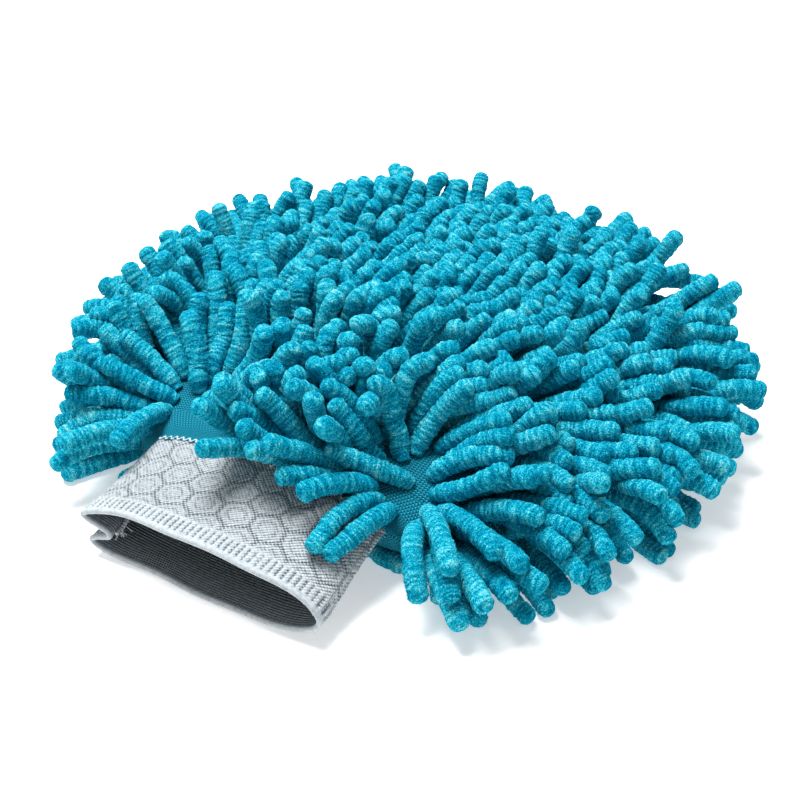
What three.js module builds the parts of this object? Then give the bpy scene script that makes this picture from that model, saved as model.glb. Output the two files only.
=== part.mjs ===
// A chenille wash mitt lying on a table: two knit panels covered in soft chenille fingers, sewn together
// round their edge into a pocket, with a flat elastic wrist cuff sewn into the pocket's mouth.
// Millimetres, +Z up. +Y runs from the wrist to the finger end, +X across the mitt.
// The mitt bends at three places: the knuckle line across the panels, the seam between panels and cuff,
// and the cuff's own mouth, whose upper half lifts. The panels are split at the knuckle line for that.
import * as THREE from "three";

// ---- driving dimensions ----
const PANEL_WIDTH = 212;
const PANEL_LENGTH = 200;
const PANEL_FRONT_WIDTH = 118; // width of the panels' straight edge at the wrist
const PANEL_CUT = 0.985; // the round end is squared off at this share of the length
const FABRIC = 1.5; // thickness of the knit
const GAP = 0.3; // clearance between pieces that touch
const KNUCKLE_GAP = 1.2; // left open along the knuckle line

const EDGE_HEIGHT_WRIST = 6; // height of the lower panel above the table at the wrist
const EDGE_HEIGHT = 13; // and from FLAT_FROM_Y on
const FLAT_FROM_Y = 60;
const POCKET_HEIGHT = 16; // inside height of the pocket along its middle
const POCKET_HEIGHT_WRIST = 27;
const ARCH_FROM_Y = 45; // the wrist arch has settled to POCKET_HEIGHT here

const CUFF_LENGTH = 44;
const CUFF_TUCK = 6; // length of cuff inside the pocket's mouth
const CUFF_HALF_WIDTH = 48.5;
const CUFF_BAND = 1.6; // thickness of the elastic
const MOUTH_HEIGHT = 21;
const THROAT_LOW = 9; // underside of the cuff at the seam
const THROAT_HIGH = 29; // top of the cuff at the seam

const CUFF_SPLIT = 0.022; // radians, half the angle left open between the cuff's halves at each side
const STITCH = 0.8; // thickness of the stitches that join the cuff to the pocket
const STITCH_FROM_Y = -5;
const STITCH_TO_Y = -2;
const STITCH_INSET = 0.08; // radians, left without stitches at each end of a half
const SIDE_SEAM_FROM = 0.1; // radians below the cuff's left side
const SIDE_SEAM_TO = 0.42;
const SIDE_SEAM = 2; // thickness of the allowance inside the cuff
const SIDE_SEAM_INSET = 1; // and how far it stops short of the cuff's ends

const SEAM_ROLL = 1.2; // radius of the overlocked seam allowance
const SEAM_INSET = 8; // and its distance in from the panels' edge
const SEAM_START_Y = 4;
const SEAM_END = 0.91; // it crosses the finger end at this share of the length
const SEAM_CLEAR = 3; // left open at each side of the knuckle line

const UPPER_ROWS = 16;
const LOWER_ROWS = 14;
const ROW_START_Y = 8;
const ROW_END_Y = 189;
const KNUCKLE_Y = (ROW_START_Y + ROW_END_Y) / 2; // the bend line lies midway between the middle rows
const FINGER = 6.3; // thickness of a chenille finger
const FINGER_PITCH = 10.4; // spacing along a row
const FINGER_LENGTH = 30;
const FINGER_TIP = 4.4; // thickness at the tip
const ROW_LIFT = 1.2; // clearance between a row and its panel
const ROW_TAPE = 1.2; // thickness of the stitched line that holds a row
const WEB = 3; // height at which neighbouring fingers part
const SIDE_LEAN = 90; // degrees, of the outermost fingers
const WRIST_SLOPE = -0.9; // along the mitt per unit of rise, of the first row
const END_SLOPE = 2; // and of the last row
const LOWER_SPLAY = 34; // how far the tips under the edge stick out

const radians = THREE.MathUtils.degToRad;
const { lerp, smoothstep } = THREE.MathUtils;

// ---- materials ----
const teal = new THREE.MeshStandardMaterial({ color: 0x0f93b0, roughness: 0.95, metalness: 0 });
const tealKnit = new THREE.MeshStandardMaterial({ color: 0x0b7391, roughness: 0.9, metalness: 0 });
const greyElastic = new THREE.MeshStandardMaterial({ color: 0xb2babf, roughness: 0.85, metalness: 0 });
const paleThread = new THREE.MeshStandardMaterial({ color: 0xe4e8e8, roughness: 0.7, metalness: 0 });

// ---- the pocket's surfaces ----

// Half the width of the panels at a distance y from the wrist seam: an ellipse cut off at the wrist.
function halfWidth(y) {
  const cut = Math.sqrt(1 - (PANEL_FRONT_WIDTH / PANEL_WIDTH) ** 2);
  const along = (y / PANEL_LENGTH) * (1 + cut) - cut;
  return (PANEL_WIDTH / 2) * Math.sqrt(Math.max(0, 1 - along * along));
}

// Height of the lower panel's underside. It drops towards the wrist.
function edgeHeight(y) {
  return lerp(EDGE_HEIGHT_WRIST, EDGE_HEIGHT, smoothstep(y, 0, FLAT_FROM_Y));
}

// Rise of the upper panel above its own edge along the middle of the mitt.
function domeRise(y) {
  const end = Math.sqrt(Math.max(0, 1 - (y / PANEL_LENGTH) ** 4));
  return end * lerp(POCKET_HEIGHT_WRIST, POCKET_HEIGHT, smoothstep(y, 0, ARCH_FROM_Y));
}

// A point of the lower panel, height above its underside included. across runs from -1 to 1.
function lowerPoint(across, y, height) {
  return new THREE.Vector3(across * halfWidth(y), y, edgeHeight(y) + height);
}

// A point of the upper panel's inner face. across runs from -1 to 1, in even steps round the arch.
function archPoint(across, y) {
  const turn = (across * Math.PI) / 2;
  const rise = domeRise(y) * Math.cos(turn) ** 0.8;
  return new THREE.Vector3(halfWidth(y) * Math.sin(turn), y, edgeHeight(y) + FABRIC + GAP + rise);
}

// Outward normal of the upper panel.
function archNormal(across, y) {
  const step = 0.01;
  const a = THREE.MathUtils.clamp(across, -0.97, 0.97);
  const sideways = archPoint(a + step, y).sub(archPoint(a - step, y));
  const along = archPoint(a, y + 1).sub(archPoint(a, y - 1));
  return sideways.cross(along).normalize();
}

function upperPoint(across, y, height) {
  return archPoint(across, y).addScaledVector(archNormal(across, y), height);
}

// ---- geometry helpers ----

// Moves every vertex of a geometry with place(x, y, z).
function bent(geometry, place) {
  const position = geometry.getAttribute("position");
  for (let i = 0; i < position.count; i++) {
    const moved = place(position.getX(i), position.getY(i), position.getZ(i));
    position.setXYZ(i, moved.x, moved.y, moved.z);
  }
  geometry.deleteAttribute("normal");
  geometry.deleteAttribute("uv");
  geometry.computeVertexNormals();
  return geometry;
}

// A sheet bent over place(across, y, height): across -1 to 1, y from y0 to y1, height 0 to thickness.
function sheet(place, y0, y1, thickness, acrossSteps, alongSteps) {
  const flat = new THREE.BoxGeometry(2, y1 - y0, thickness, acrossSteps, alongSteps, 1);
  flat.translate(0, (y0 + y1) / 2, thickness / 2);
  return bent(flat, place);
}

// One closed body. Its corners are Vector3, and its quads are lists of four corner numbers and face out.
function closedBody(corners, quads) {
  const geometry = new THREE.BufferGeometry();
  geometry.setAttribute(
    "position",
    new THREE.Float32BufferAttribute(corners.flatMap((c) => c.toArray()), 3),
  );
  geometry.setIndex(quads.flatMap(([a, b, c, d]) => [a, b, c, a, c, d]));
  geometry.computeVertexNormals();
  return geometry;
}

// A row of fingers on its stitched tape. Each finger is a stack of four-cornered rings, and neighbours share
// the corners of the tape. ringsOf(i) gives finger i's rings above the tape, and tapeCorner(i, side, top) one
// of the tape's corners.
function comb(count, tapeCorner, ringsOf) {
  const corners = [];
  const quads = [];
  for (let i = 0; i <= count; i++) {
    corners.push(tapeCorner(i, -1, 0), tapeCorner(i, 1, 0), tapeCorner(i, 1, 1), tapeCorner(i, -1, 1));
  }
  quads.push([0, 3, 2, 1]);
  for (let i = 0; i < count; i++) {
    const [a, b] = [4 * i, 4 * (i + 1)];
    quads.push([a, a + 1, b + 1, b], [a + 1, a + 2, b + 2, b + 1], [a, b, b + 3, a + 3]);
    let below = [a + 3, a + 2, b + 2, b + 3];
    for (const ring of ringsOf(i)) {
      const start = corners.length;
      corners.push(...ring);
      const above = [start, start + 1, start + 2, start + 3];
      for (let k = 0; k < 4; k++) {
        const next = (k + 1) % 4;
        quads.push([below[next], below[k], above[k], above[next]]);
      }
      below = above;
    }
    quads.push([below[3], below[2], below[1], below[0]]);
  }
  const last = 4 * count;
  quads.push([last, last + 1, last + 2, last + 3]);
  return closedBody(corners, quads);
}

// ---- parts ----
const mitt = new THREE.Group();

function add(name, geometry, material) {
  const mesh = new THREE.Mesh(geometry, material);
  mesh.name = name;
  mitt.add(mesh);
}

function rowY(i, rows) {
  return lerp(ROW_START_Y, ROW_END_Y, i / (rows - 1));
}

// The way an upper finger points. The first row leans over the cuff, and the others lean more and more
// towards the finger end. Towards the edge they lie flatter and point away from the middle.
function upperDirection(across, y) {
  const side = Math.sin((across * Math.PI) / 2);
  const share = (y - ROW_START_Y) / (ROW_END_Y - ROW_START_Y);
  const stroked = lerp(WRIST_SLOPE, END_SLOPE, Math.sqrt(share));
  const radial = (2 * y) / PANEL_LENGTH - 1;
  const slope = lerp(stroked, 1.5 * radial, side ** 4);
  const lean = radians(SIDE_LEAN) * side * Math.abs(side);
  return new THREE.Vector3(Math.sin(lean), slope, Math.cos(lean)).normalize();
}

function upperRow(y) {
  const reach = 0.97; // the rows stop short of the seam
  const count = Math.floor((2 * reach * halfWidth(y)) / FINGER_PITCH);
  const acrossAt = (i) => (Math.asin(lerp(-reach, reach, i / count)) * 2) / Math.PI;
  const tapeCorner = (i, side, top) =>
    upperPoint(acrossAt(i), y + (side * FINGER) / 2, FABRIC + ROW_LIFT + top * ROW_TAPE);
  const ringsOf = (i) => {
    const across = acrossAt(i + 0.5);
    const foot = upperPoint(across, y, FABRIC + ROW_LIFT + ROW_TAPE);
    const way = upperDirection(across, y);
    const beside = new THREE.Vector3(1, 0, 0).addScaledVector(way, -way.x).normalize();
    const ahead = way.clone().cross(beside);
    const ring = (height, size) =>
      [[-1, -1], [-1, 1], [1, 1], [1, -1]].map(([s, t]) =>
        foot.clone().addScaledVector(way, height)
          .addScaledVector(beside, (s * size) / 2)
          .addScaledVector(ahead, (t * size) / 2),
      );
    return [ring(WEB, FINGER), ring(FINGER_LENGTH, FINGER_TIP)];
  };
  return comb(count, tapeCorner, ringsOf);
}

// The fingers under the mitt are pressed short between the panel and the table, and stand on flat tips.
// Those near the edge lie outwards.
function lowerRow(y) {
  const reach = 0.94;
  const count = Math.floor((2 * reach * halfWidth(y)) / (FINGER_PITCH * 1.15));
  const xAt = (i) => lerp(-reach, reach, i / count) * halfWidth(y);
  const tapeCorner = (i, side, top) => {
    const rowSide = y + (side * FINGER) / 2;
    return new THREE.Vector3(xAt(count - i), rowSide, edgeHeight(rowSide) - ROW_LIFT - top * ROW_TAPE);
  };
  const ringsOf = (i) => {
    const x = xAt(count - i - 0.5);
    const edge = (x / halfWidth(y)) ** 2;
    const tipX = x + Math.sign(x) * LOWER_SPLAY * edge * edge;
    const tipY = y + LOWER_SPLAY * (y / PANEL_LENGTH) ** 8;
    const foot = [[1, -1], [1, 1], [-1, 1], [-1, -1]];
    return [foot.map(([s, t]) => new THREE.Vector3(tipX + (s * FINGER) / 2, tipY + (t * FINGER) / 2, 0))];
  };
  return comb(count, tapeCorner, ringsOf);
}

// Panels, split at the knuckle line.
const ENDS = [
  ["rear", 0, KNUCKLE_Y - KNUCKLE_GAP / 2],
  ["front", KNUCKLE_Y + KNUCKLE_GAP / 2, PANEL_CUT * PANEL_LENGTH],
];
for (const [end, y0, y1] of ENDS) {
  add(`upper_panel_${end}`, sheet(upperPoint, y0, y1, FABRIC, 22, 5), tealKnit);
  add(`lower_panel_${end}`, sheet(lowerPoint, y0, y1, FABRIC, 10, 5), tealKnit);
}

// The overlocked seam allowance, a soft roll inside the pocket along its edge, on the sides that are given.
function seamRoll(y0, y1, sides) {
  const steps = 9;
  const points = [];
  for (const side of sides) {
    const run = [];
    for (let i = 0; i <= steps; i++) {
      const y = lerp(y0, y1, i / steps);
      const z = edgeHeight(y) + FABRIC + GAP + SEAM_ROLL;
      run.push(new THREE.Vector3(side * (halfWidth(y) - SEAM_INSET), y, z));
    }
    points.push(...(points.length ? run.reverse() : run));
  }
  const section = new THREE.Shape().absarc(0, 0, SEAM_ROLL, 0, 2 * Math.PI);
  return new THREE.ExtrudeGeometry(section, {
    curveSegments: 3,
    steps: 10 * sides.length,
    extrudePath: new THREE.CatmullRomCurve3(points),
    bevelEnabled: false,
  });
}
add("seam_roll_right", seamRoll(SEAM_START_Y, KNUCKLE_Y - SEAM_CLEAR, [1]), paleThread);
add("seam_roll_left", seamRoll(SEAM_START_Y, KNUCKLE_Y - SEAM_CLEAR, [-1]), paleThread);
add("seam_roll_end", seamRoll(KNUCKLE_Y + SEAM_CLEAR, SEAM_END * PANEL_LENGTH, [1, -1]), paleThread);

// Rows of fingers.
const number = (i) => String(i + 1).padStart(2, "0");
for (let i = 0; i < UPPER_ROWS; i++) {
  add(`upper_row_${number(i)}`, upperRow(rowY(i, UPPER_ROWS)), teal);
}
for (let i = 0; i < LOWER_ROWS; i++) {
  add(`lower_row_${number(i)}`, lowerRow(rowY(i, LOWER_ROWS)), teal);
}

// ---- the cuff ----

// A point of the cuff. turn goes round it from the right side: 0 to pi over the top, pi to 2 pi underneath.
function cuffPoint(turn, y, height) {
  const share = smoothstep(y, -CUFF_LENGTH, 0);
  const low = lerp(0, THROAT_LOW, share);
  const high = lerp(MOUTH_HEIGHT, THROAT_HIGH, share);
  const half = (high - low) / 2 - CUFF_BAND + height;
  const width = CUFF_HALF_WIDTH - CUFF_BAND + height;
  return new THREE.Vector3(width * Math.cos(turn), y, (low + high) / 2 + half * Math.sin(turn));
}

// Part of the cuff's tube, between two turns.
function cuffSheet(from, to, y0, y1, inside, thickness, roundSteps, alongSteps) {
  return sheet(
    (across, y, height) => cuffPoint(lerp(from, to, (1 - across) / 2), y, inside + height),
    y0, y1, thickness, roundSteps, alongSteps,
  );
}

const HALVES = [
  ["upper", CUFF_SPLIT, Math.PI - CUFF_SPLIT],
  ["lower", Math.PI + CUFF_SPLIT, 2 * Math.PI - CUFF_SPLIT],
];
for (const [half, from, to] of HALVES) {
  add(`cuff_${half}`, cuffSheet(from, to, -CUFF_LENGTH, CUFF_TUCK, 0, CUFF_BAND, 20, 5), greyElastic);
  const stitches = cuffSheet(
    from + STITCH_INSET, to - STITCH_INSET, STITCH_FROM_Y, STITCH_TO_Y, CUFF_BAND + GAP, STITCH, 20, 1,
  );
  add(`cuff_join_stitch_${half}`, stitches, paleThread);
}

// The elastic's two ends are sewn together at the left, and their allowance stands up inside the cuff.
const allowance = cuffSheet(
  Math.PI + SIDE_SEAM_FROM, Math.PI + SIDE_SEAM_TO,
  SIDE_SEAM_INSET - CUFF_LENGTH, CUFF_TUCK - SIDE_SEAM_INSET, -SIDE_SEAM - GAP, SIDE_SEAM, 2, 5,
);
add("cuff_side_seam", allowance, greyElastic);

// The frame's origin is under the middle of the whole mitt, on the table.
const box = new THREE.Box3().setFromObject(mitt);
const middle = box.getCenter(new THREE.Vector3());
mitt.position.set(-middle.x, -middle.y, -box.min.z);

const part = new THREE.Group();
part.add(mitt);

export default part;
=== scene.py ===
"""The looks of a chenille wash mitt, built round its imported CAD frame.

The mitt lies on a table. Lengths here are millimetres, in the mitt's own directions: x across,
y from the wrist seam to the finger end, z up from the table. in_frame() turns them into the
frame's metres.
"""
import math

import bpy
import numpy as np
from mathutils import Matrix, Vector


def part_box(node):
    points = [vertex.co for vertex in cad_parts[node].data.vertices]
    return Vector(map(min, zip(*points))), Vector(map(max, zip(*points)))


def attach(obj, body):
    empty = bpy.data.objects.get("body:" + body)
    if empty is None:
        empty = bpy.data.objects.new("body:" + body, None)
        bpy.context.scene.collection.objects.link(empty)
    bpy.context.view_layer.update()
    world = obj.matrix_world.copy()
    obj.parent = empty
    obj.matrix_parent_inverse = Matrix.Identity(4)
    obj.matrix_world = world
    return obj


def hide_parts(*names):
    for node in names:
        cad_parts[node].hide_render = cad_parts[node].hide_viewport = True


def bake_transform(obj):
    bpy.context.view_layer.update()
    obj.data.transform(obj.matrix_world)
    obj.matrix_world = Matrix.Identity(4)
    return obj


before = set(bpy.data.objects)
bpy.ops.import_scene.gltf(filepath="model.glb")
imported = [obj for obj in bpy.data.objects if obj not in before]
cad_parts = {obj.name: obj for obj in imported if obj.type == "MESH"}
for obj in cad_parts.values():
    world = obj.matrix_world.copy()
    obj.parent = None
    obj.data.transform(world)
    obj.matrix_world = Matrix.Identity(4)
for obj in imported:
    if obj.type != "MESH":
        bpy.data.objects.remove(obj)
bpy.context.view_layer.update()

MM = 0.001
rng = np.random.default_rng(11)

# ---- sizes taken from the frame ----
lower_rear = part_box("lower_panel_rear")
lower_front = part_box("lower_panel_front")
cuff_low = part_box("cuff_lower")
cuff_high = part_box("cuff_upper")
SEAM_Y = lower_rear[0].y / MM  # the wrist seam, in the frame
PANEL_WIDTH = (lower_rear[1].x - lower_rear[0].x) / MM
PANEL_END = lower_front[1].y / MM - SEAM_Y
KNUCKLE_Y = (lower_rear[1].y + lower_front[0].y) / 2 / MM - SEAM_Y
CUFF_LENGTH = SEAM_Y - cuff_low[0].y / MM
CUFF_HALF = cuff_high[1].x / MM

# ---- shape of the pocket ----
FRONT_WIDTH = 118  # of the panels' straight edge at the wrist
RIM_WRIST = 8  # height of the sewn rim at the wrist
RIM = 15  # and beyond FLAT_FROM
FLAT_FROM = 60
KNIT = 1.4  # thickness of the ground knit
RISE_WRIST = 22.5  # rise of the upper panel over the rim at the wrist
RISE = 17.3  # and beyond RISE_FROM
RISE_FROM = 50
UNDER = 2  # the lower panel hangs this far below the rim
THROAT_LOW = 9  # lowest and highest point of the cuff at the wrist seam
THROAT_HIGH = 29
MOUTH_HEIGHT = 24  # the cuff's height at its mouth, from the table
KNUCKLE_REACH = 35  # the pocket bends over this far either side of the knuckles
WRIST_START = 12  # the knit follows the pocket from here
WRIST_END = -2.5  # and the cuff from here
PANEL_LAP = 1.5  # the panels reach this far under the wrist band
PANEL_ROWS = 90
PANEL_COLUMNS = 121

# ---- chenille fingers: where they are sewn ----
UPPER_ROWS = 16
LOWER_ROWS = 14
ROW_FIRST = 8  # y of the first row's line
ROW_LAST = 189
LOWER_FIRST = 14
UPPER_PITCH = 5.5
LOWER_PITCH = 8.6
UPPER_REACH = 0.97  # the rows end at this share of the panel's width
LOWER_REACH = 0.94
STAGGER = 3.0  # the fingers of a row are sewn in a zigzag this far either side of its line
SEWN_ASTRAY = 0.9  # and each is this far off at most
RIM_OFFSETS = [-4.0, 3.0]  # more fingers at the ends of a row, before and behind its line
FINGER_LENGTH = 34
FINGER_RADIUS = 3.5
LOWER_THINNER = 0.92
BARE_SPOTS = [(-48, 10), (-38, 8), (-28, 7), (48, 9)]  # the knit shows near the wrist corners
PARTINGS = [(-47, 19), (48, 17)]  # and the fingers lean away from here
BARE_RADIUS = 5.5
CROWDED = 4.5  # a row's finger nearer than this to a hanging one is left out
FIRST_ROW_END = -24  # hanging fingers take the first row's place to the right of here
# Fingers of the first row that hang over the cuff and its corners: x, y, lean in x, lean in y.
HANGING = [
    (-62, 8, -1.9, -1.1), (-60, 13, -2, -0.7), (-54, 12, 0.2, -1.7), (-56, 5, -1, -1.9),
    (-11, 7, 0, -0.7), (-5, 9, -0.4, -0.5), (1, 5, -0.4, -1.3), (7, 8, -0.9, -0.6),
    (13, 5, -0.9, -1.2), (18, 8, -1.4, -0.6), (23, 5, -1.5, -1.3), (28, 7, -1.6, -0.9),
    (33, 5, -1.3, -1.7), (38, 7, -1.7, -1.2), (42.5, 4.6, -0.9, -2.3), (47.5, 4.6, -0.2, -2.5),
    (57, 5.5, 0.6, -2.2), (63, 8, 1.1, -1.7), (57, 11, 1.3, -1.5), (61, 14, 1.8, -1),
    (67, 13, 2.1, -0.7), (56, 17, 2, -0.2),
]
CORNER_Y = [3, 6.5, 10]  # more fingers hang from the rim here, at both front corners

# ---- chenille fingers: how they lean, as tangents from upright ----
LEAN_BACK = 0.3  # outwards, near the rim at the back
LEAN_FRONT = 2.8  # and at the right and the front
LEAN_LEFT = 0.5  # more at the left
LEAN_OVER_RIM = 2.6  # the outermost fingers
LEAN_OVER_BACK = (0.5, 2.7)  # their range at the back
LEAN_PARTED = 2.0  # away from a parting
PARTING_REACH = 19
TOGETHER = 0.3  # neighbours lean together by this much
TOGETHER_SIZE = 42
APART = 0.16  # and each by itself by this much
APART_AT_RIM = 0.6
LOWER_DIP = (-0.45, -0.15)
BRUSH_REACH = 20
# Places on the upper side, and the lean of the fingers there: x, y, lean in x, lean in y.
BRUSHED = [
    (-82, 45, -1.4, -0.1), (-88, 85, -1.1, 0.5), (-80, 140, 0.2, 1.1), (-58, 75, 0.9, 0.8),
    (-55, 110, 1.1, 0.7), (-30, 90, 1.1, 0.5), (-62, 158, 0.5, 1.1), (-35, 160, 0.8, 1),
    (0, 165, 0.5, 0.9), (0, 115, 0.8, 0.9), (-55, 38, -0.7, 0.4), (-28, 38, -0.1, 0.3),
    (-14, 62, -0.1, 0.3), (12, 30, 0.2, -0.5), (-10, 8, 0, -0.7), (38, 66, 1.4, 0.9),
    (25, 10, -0.7, -1.3), (30, 95, 0.8, 0.8), (53, 126, 0.4, 0.7), (52, 168, 0.2, 0.8),
    (79, 155, 0.7, 0.7), (95, 111, 1.3, 0.2), (85, 61, 2, 0.3), (72, 33, 2.2, -0.3),
    (40, 35, 1.4, 0.3),
]

# ---- chenille fingers: how they settle ----
SETTLE_STEPS = 220
JOINTS = 8  # points along a finger
PILE_HEIGHT = 22  # of the brushed pile over the knit
STANDS_UP = 9  # and this much more where it stands up, left of the middle
SEWN_FIRM = 1000  # a finger's first point is sewn down, and its second is held by the seam
SEAM_FIRM = 12
HOLD_WAY = 0.4  # how strongly a finger keeps the direction it was sewn in
HOLD_STRAIGHT = 0.32  # and how strongly it stays straight
CROOKED = 0.05
PAIRS_EVERY = 6  # steps between two searches for touching fingers
PAIR_REACH = 2.6  # finger radii
SQUASH = 0.9  # touching fingers may be this share of their thickness apart
PUSH = 0.7
LONGEST_PUSH = 1.6
RESTS_AT = 0.85  # radii over the knit

# ---- chenille fingers: their mesh ----
UPPER_RINGS = 64
UPPER_SIDES = 18
LOWER_RINGS = 44
LOWER_SIDES = 12
RIDGE_PITCH = (1.7, 2.2)
RIDGE_WANDER = 2.2  # how far the ridges stray from even rings
RIDGE_HEIGHT = 0.036  # shares of the radius
LUMP_HEIGHT = 0.024
GRAIN_HEIGHT = 0.028
TABLE_GAP = 0.05

# ---- cuff ----
CUFF_TUCK = 5  # the cuff reaches this far into the pocket
CUFF_BAND = 1.4
CUFF_COLUMNS = 472
HEM_WIDTH = 2.2
HEM_ROLL = 1.12  # radius of the rolled hem, and how far its middle lies inside the cuff's outside
HEM_INSET = 0.72
RIB_BAND = 8  # length of the ribbed border at the mouth
RIB_PITCH = 2.3
CELL_WIDTH = 12.5
CELL_HEIGHT = 9
ROUND_OUT = 1.01  # the outline is cut at its corners, and this brings it back to the cuff's size
ROUND_UP = 1.02
PLEAT_FROM = 4  # the pleat is whole this far in from the mouth, and gone at PLEAT_TO
PLEAT_TO = -12

# ---- stitches and seams ----
STITCH_PITCH = 2.9
STITCH_Y = -2
STITCH_SHARE = 0.44  # of the way round the cuff, above and below
FRAYED_ENDS = 14
SEAM_INSET = 8

# ---- floor, light and camera, in metres ----
FLOOR_HALF = 6
FLOOR_GLOW = 0.4
KEY_PLACE = (-0.45, 0.2, 1.4)
KEY_SIZE = 0.8
KEY_POWER = 49
SKY_LOW = 0.95  # brightness near the horizon and overhead
SKY_HIGH = 0.34
CAMERA_AZIMUTH = 30.5
CAMERA_ELEVATION = 34.5
CAMERA_DISTANCE = 0.56
CAMERA_LENS = 63.9
AIM_RIGHT = 0.005
AIM_DOWN = 0.013

# The cuff's cross-section, from its right end over the top: shares of its half width and half height.
MOUTH_OUTLINE = [
    (1, -0.05), (0.94, 0.36), (0.71, 0.72), (0.34, 0.95), (0, 1), (-0.34, 0.98),
    (-0.68, 0.84), (-0.92, 0.56), (-1, 0.34), (-0.96, 0.14), (-0.84, 0.03), (-0.74, -0.1),
    (-0.84, -0.26), (-0.91, -0.36), (-0.95, -0.52), (-0.9, -0.72), (-0.7, -0.88), (-0.34, -0.96),
    (0, -0.98), (0.34, -0.95), (0.7, -0.85), (0.9, -0.64), (0.99, -0.38),
]
THROAT_TOP = [
    (1, 0.02), (0.94, 0.34), (0.71, 0.71), (0.34, 0.94), (0, 1), (-0.34, 0.94),
    (-0.71, 0.71), (-0.94, 0.34), (-0.97, 0.2), (-0.99, 0.1), (-1, 0.04), (-1, 0),
]
THROAT_OUTLINE = THROAT_TOP + [(x, -z) for x, z in THROAT_TOP[-2:0:-1]] + [(0.99, -0.12)]


def smooth(value, low, high):
    t = np.clip((value - low) / (high - low), 0, 1)
    return t * t * (3 - 2 * t)


def mix(a, b, t):
    return a + (b - a) * t


def unit(vectors):
    return vectors / np.maximum(np.linalg.norm(vectors, axis=-1, keepdims=True), 1e-9)


def in_frame(points):
    """Millimetres from the wrist seam, as metres in the frame."""
    return (np.asarray(points, float) + [0, SEAM_Y, 0]) * MM


def frame_point(x, y, z):
    return tuple(in_frame([x, y, z]))


# ---- surfaces of the pocket and the cuff ----

def half_width(y):
    cut = math.sqrt(1 - (FRONT_WIDTH / PANEL_WIDTH) ** 2)
    along = np.clip(y / PANEL_END, 0, 1) * (1 + cut) - cut
    return PANEL_WIDTH / 2 * np.sqrt(np.maximum(1e-6, 1 - along * along))


def out_share(x, y):
    """0 on the mitt's middle line, 1 at its rim and beyond."""
    return np.minimum(1, np.abs(x) / half_width(y))


def rim_height(y):
    return mix(RIM_WRIST, RIM, smooth(y, 0, FLAT_FROM))


def upper_height(x, y):
    """Height of the upper panel's outer face."""
    share = out_share(x, y)
    body = smooth(y, 0, RISE_FROM)
    end = np.sqrt(np.maximum(0, 1 - np.clip(y / PANEL_END, 0, 1) ** 4))
    rise = mix(RISE_WRIST, RISE, body) * end
    profile = np.maximum(0, 1 - share ** mix(2.5, 2.0, body)) ** mix(0.6, 0.4, body)
    return rim_height(y) + rise * profile


def lower_height(x, y):
    """Height of the lower panel's outer face, its underside."""
    share = out_share(x, y)
    return rim_height(y) - UNDER * (1 - share ** 6)


def cuff_middle(y):
    """Height of the cuff's middle plane, and half its height."""
    share = smooth(y, -CUFF_LENGTH, 0)
    low = mix(0, THROAT_LOW, share)
    high = mix(MOUTH_HEIGHT, THROAT_HIGH, share)
    return (low + high) / 2, (high - low) / 2


def cuff_height(x, y):
    """Height of the cuff's upper outside."""
    middle, half = cuff_middle(y)
    return middle + half * np.sqrt(np.maximum(0, 1 - (x / CUFF_HALF) ** 2))


# ---- meshes ----

def link(name, data):
    """A new object of the scene."""
    made = bpy.data.objects.new(name, data)
    bpy.context.scene.collection.objects.link(made)
    return made


def make_object(name, vertices, faces, material, uv=None, attributes=None):
    """A mesh object from millimetre vertices. uv holds a pair for each, an attribute a number."""
    mesh = bpy.data.meshes.new(name)
    mesh.from_pydata(in_frame(vertices).tolist(), [], [list(f) for f in faces])
    mesh.materials.append(material)
    corner = np.zeros(len(mesh.loops), np.int32)
    mesh.loops.foreach_get("vertex_index", corner)
    if uv is not None:
        layer = mesh.uv_layers.new(name="cloth")
        layer.data.foreach_set("uv", np.asarray(uv, np.float32)[corner].ravel())
    for key, values in (attributes or {}).items():
        attribute = mesh.attributes.new(key, "FLOAT", "POINT")
        attribute.data.foreach_set("value", np.asarray(values, np.float32))
    mesh.shade_smooth()
    mesh.update()
    return link(name, mesh)


def grid_faces(rows, columns, start=0, wrap=False):
    """Quads over rows of vertices. wrap joins the last column to the first."""
    faces = []
    for row in range(start, start + (rows - 1) * columns, columns):
        for j in range(columns if wrap else columns - 1):
            k = (j + 1) % columns
            faces.append((row + j, row + k, row + columns + k, row + columns + j))
    return faces


def ring_faces(rows, columns):
    """Quads over a grid that is closed both ways."""
    return np.array(grid_faces(rows + 1, columns, wrap=True)) % (rows * columns)


def tube_faces(rings, sides, start=0):
    """The faces of a tube that is closed at both ends."""
    faces = grid_faces(rings, sides, start=start, wrap=True)
    faces.append(tuple(range(start + sides - 1, start - 1, -1)))
    faces.append(tuple(range(start + (rings - 1) * sides, start + rings * sides)))
    return faces


def tube_points(curves, radial):
    """Rings of points round the points of each curve. radial is (curves, points, sides)."""
    tangent = unit(np.gradient(curves, axis=1))
    normal = np.zeros_like(curves)
    carried = np.where(np.abs(tangent[:, 0, 2:]) < 0.9, [[0, 0, 1]], [[1, 0, 0]])
    for k in range(curves.shape[1]):
        along = (carried * tangent[:, k]).sum(1, keepdims=True)
        carried = unit(carried - tangent[:, k] * along)
        normal[:, k] = carried
    across = np.cross(tangent, normal)
    angle = np.linspace(0, math.tau, radial.shape[2], endpoint=False)[:, None]
    circle = normal[:, :, None] * np.cos(angle) + across[:, :, None] * np.sin(angle)
    return curves[:, :, None] + circle * radial[..., None]


def tube_mesh(curve, radius, sides, start=0):
    """A round closed tube along a curve. radius is one number, or one for each point."""
    radial = np.ones((1, len(curve), sides)) * np.reshape(radius, (-1, 1))
    return tube_points(curve[None], radial).reshape(-1, 3), tube_faces(len(curve), sides, start)


def tube(name, curve, radius, sides, material):
    vertices, faces = tube_mesh(curve, radius, sides)
    return make_object(name, vertices, faces, material)


# ---- chenille fingers: where they grow and how they lean ----

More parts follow.
